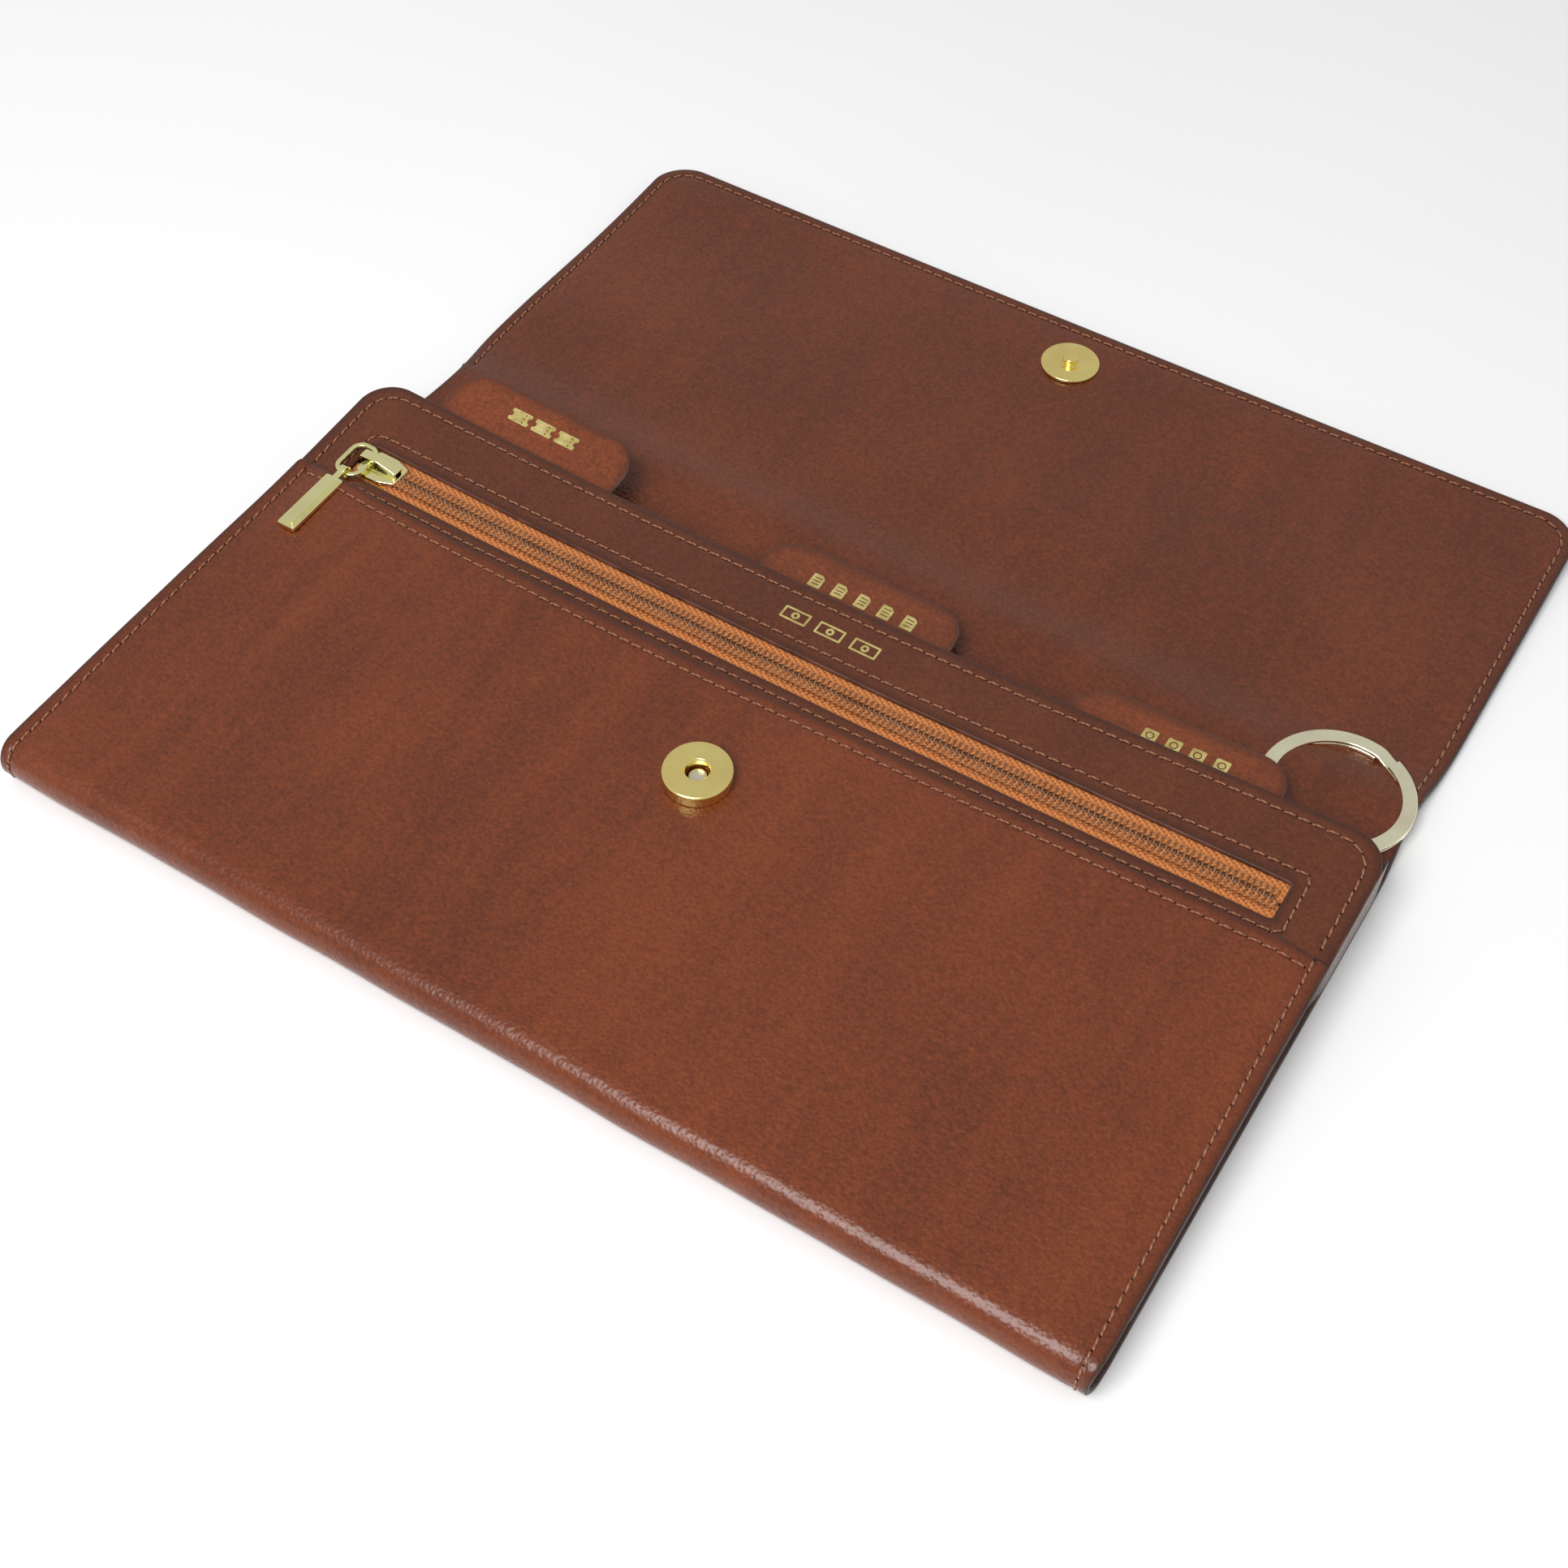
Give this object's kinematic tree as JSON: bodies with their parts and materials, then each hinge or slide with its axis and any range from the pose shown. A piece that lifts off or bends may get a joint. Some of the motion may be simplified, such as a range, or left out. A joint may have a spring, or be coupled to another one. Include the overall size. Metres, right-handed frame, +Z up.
{
  "type": "travel document organizer",
  "caption": "Long leather travel wallet lying open: zip pocket and slip pocket in front, tabbed dividers, fold-over flap with magnetic snap, key ring.",
  "frame": {"origin": "middle of the underside of the open organizer, on the table, halfway between the bottom fold and the flap's free edge", "axes": "+X along the width, towards the key ring end; +Y from the bottom fold towards the flap's free edge; +Z up off the table"},
  "size_m": [0.25, 0.247, 0.0166],
  "materials": {
    "leather_outer": "smooth glazed leather, fine grain",
    "leather_lining": "smooth lining leather",
    "leather_divider": "smooth leather, thin",
    "leather_strap": "smooth leather",
    "cloth_bag": "plain woven pocket cloth",
    "zip_tape": "woven twill tape",
    "zip_coil": "nylon coil",
    "thread": "twisted thread",
    "gold_metal": "polished gold-coloured plating",
    "ring_metal": "pale gold plating, flat band",
    "steel": "plated steel",
    "magnet": "dark ferrite magnet",
    "foil": "hot-stamped gold foil"
  },
  "bodies": {
    "back": {"back_panel": "leather_outer", "back_lining": "leather_lining", "bottom_fold": "leather_outer", "gusset_left": "leather_outer", "gusset_right": "leather_outer"},
    "front": {"pocket_panel": "leather_outer", "zip_panel": "leather_outer", "zip_tape_upper": "zip_tape", "zip_tape_lower": "zip_tape", "zip_coil_upper": "zip_coil", "zip_coil_lower": "zip_coil", "zip_stops": "gold_metal", "zip_bag_front": "cloth_bag", "zip_bag_back": "cloth_bag", "snap_cap": "gold_metal", "snap_magnet": "magnet", "snap_post": "steel", "snap_washer": "steel", "thread_body": "thread", "thread_pocket": "thread", "thread_window": "thread", "foil_front": "foil"},
    "divider_front": {"divider_front": "leather_divider", "foil_tickets": "foil"},
    "divider_middle": {"divider_middle": "leather_divider", "foil_middle": "foil"},
    "divider_rear": {"divider_rear": "leather_divider", "foil_rear": "foil"},
    "spine": {"spine_panel": "leather_outer", "spine_lining": "leather_lining"},
    "flap": {"flap_panel": "leather_outer", "flap_lining": "leather_lining", "snap_stud": "gold_metal", "stud_washer": "steel", "thread_flap": "thread"},
    "slider": {"slider_body": "gold_metal", "slider_bridge": "gold_metal"},
    "link": {"puller_link": "gold_metal"},
    "pendant": {"puller_pendant": "gold_metal"},
    "key_strap": {"key_strap": "leather_strap"},
    "key_ring": {"key_ring": "ring_metal"}
  },
  "joints": [
    {"name": "mouth", "type": "hinge", "parent": "back", "child": "front", "pos_m": [0, -0.11735, 0.0094], "axis": [-1, 0, 0], "range_deg": [-14, 0.4], "deforming": ["gusset_left", "gusset_right"]},
    {"name": "divider_front_lean", "type": "hinge", "parent": "back", "child": "divider_front", "pos_m": [0, -0.1155, 0.0049], "axis": [-1, 0, 0], "range_deg": [-10.55, 0.35]},
    {"name": "divider_middle_lean", "type": "hinge", "parent": "back", "child": "divider_middle", "pos_m": [0, -0.1155, 0.0038], "axis": [-1, 0, 0], "range_deg": [-7.05, 0.25]},
    {"name": "divider_rear_lean", "type": "hinge", "parent": "back", "child": "divider_rear", "pos_m": [0, -0.1155, 0.0027], "axis": [-1, 0, 0], "range_deg": [-3.55, 0.15]},
    {"name": "flap_crease_back", "type": "hinge", "parent": "back", "child": "spine", "pos_m": [0, 0.019, 0.002], "axis": [1, 0, 0], "range_deg": [0, 90.95], "deforming": ["spine_panel", "spine_lining"]},
    {"name": "flap_crease_front", "type": "hinge", "parent": "spine", "child": "flap", "pos_m": [0, 0.03706, 0.002], "axis": [1, 0, 0], "range_deg": [0, 90.95]},
    {"name": "zip_slide", "type": "slide", "parent": "front", "child": "slider", "axis": [1, 0, 0], "range_m": [0, 0.205]},
    {"name": "link_swing", "type": "hinge", "parent": "slider", "child": "link", "pos_m": [-0.1102, -0.02065, 0.01481], "axis": [0, -0.999, -0.0445], "range_deg": [-90, 0]},
    {"name": "pendant_swing", "type": "hinge", "parent": "link", "child": "pendant", "pos_m": [-0.1132, -0.02524, 0.0146], "axis": [1, 0, 0], "range_deg": [-90, 0]},
    {"name": "key_tuck", "type": "slide", "parent": "back", "child": "key_strap", "axis": [0, -1, 0], "range_m": [0, 0.022]},
    {"name": "key_ring_swing", "type": "hinge", "parent": "key_strap", "child": "key_ring", "pos_m": [0.1079, 0.0058, 0.00365], "axis": [-1, 0, 0], "range_deg": [-10, 0]}
  ],
  "couplings": [
    {"joint": "divider_front_lean", "follows": "mouth", "ratio": 0.75},
    {"joint": "divider_middle_lean", "follows": "mouth", "ratio": 0.5},
    {"joint": "divider_rear_lean", "follows": "mouth", "ratio": 0.25},
    {"joint": "flap_crease_front", "follows": "flap_crease_back", "ratio": 1},
    {"joint": "key_tuck", "follows": "flap_crease_back", "m_per_rad": 0.013796}
  ]
}
